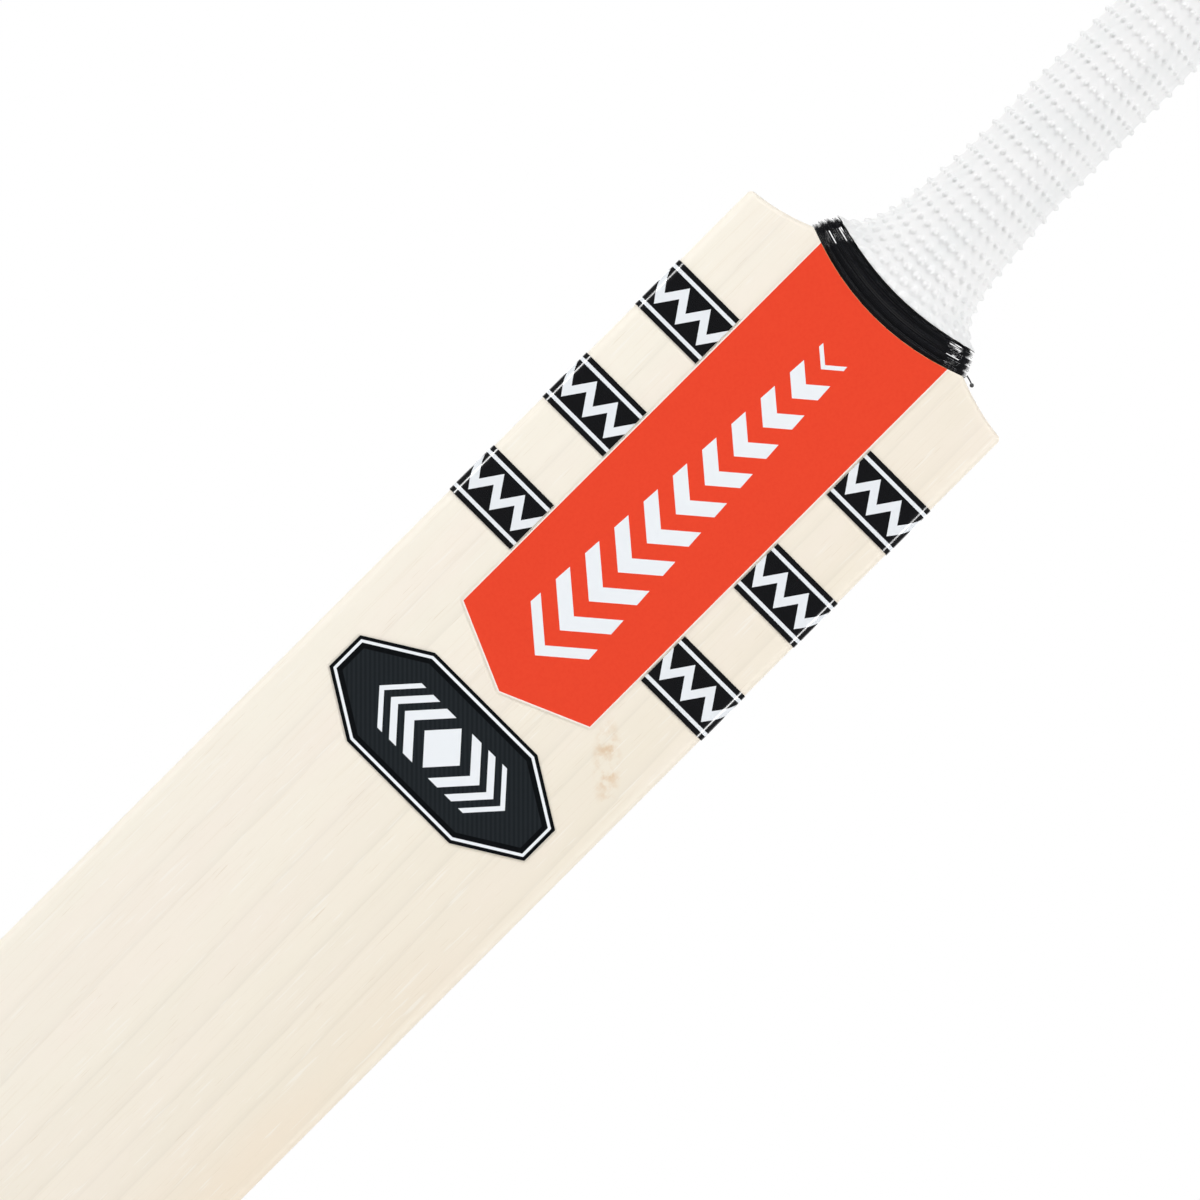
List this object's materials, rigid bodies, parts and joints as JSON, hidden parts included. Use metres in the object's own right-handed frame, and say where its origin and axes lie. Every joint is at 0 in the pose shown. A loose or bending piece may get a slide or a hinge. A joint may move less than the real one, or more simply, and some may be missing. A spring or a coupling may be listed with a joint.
{
  "type": "cricket bat",
  "caption": "Willow cricket bat with a spliced cane handle, rubber springs, black throat binding, white pimpled rubber grip and plain orange-red, black and white labels.",
  "frame": {"origin": "middle of the toe's flat end", "axes": "+Z from the toe to the handle, -Y out of the striking face, +X to the right as the face is seen"},
  "size_m": [0.1088, 0.064, 0.8601],
  "materials": {
    "willow": "pale, smooth, lightly oiled",
    "cane": "sanded",
    "spring_rubber": "matt sheet",
    "thread": "waxed black thread",
    "grip_rubber": "matt white, pimpled",
    "red_film": "printed film, satin",
    "black_film": "printed film, satin"
  },
  "bodies": {
    "root": {"blade": "willow", "cane_front_left": "cane", "cane_front_middle": "cane", "cane_front_right": "cane", "cane_inner_front_left": "cane", "cane_inner_front_middle": "cane", "cane_inner_front_right": "cane", "cane_inner_back_left": "cane", "cane_inner_back_middle": "cane", "cane_inner_back_right": "cane", "cane_back_left": "cane", "cane_back_middle": "cane", "cane_back_right": "cane", "cheek_left_front": "cane", "cheek_left_back": "cane", "cheek_right_front": "cane", "cheek_right_back": "cane", "spring_front": "spring_rubber", "spring_middle": "spring_rubber", "spring_back": "spring_rubber", "handle_binding": "thread", "throat_binding": "thread", "grip": "grip_rubber", "face_label": "red_film", "edge_label_upper_left": "black_film", "edge_label_upper_right": "black_film", "edge_label_middle_left": "black_film", "edge_label_middle_right": "black_film", "edge_label_lower_left": "black_film", "edge_label_lower_right": "black_film", "badge": "black_film"}
  },
  "joints": []
}
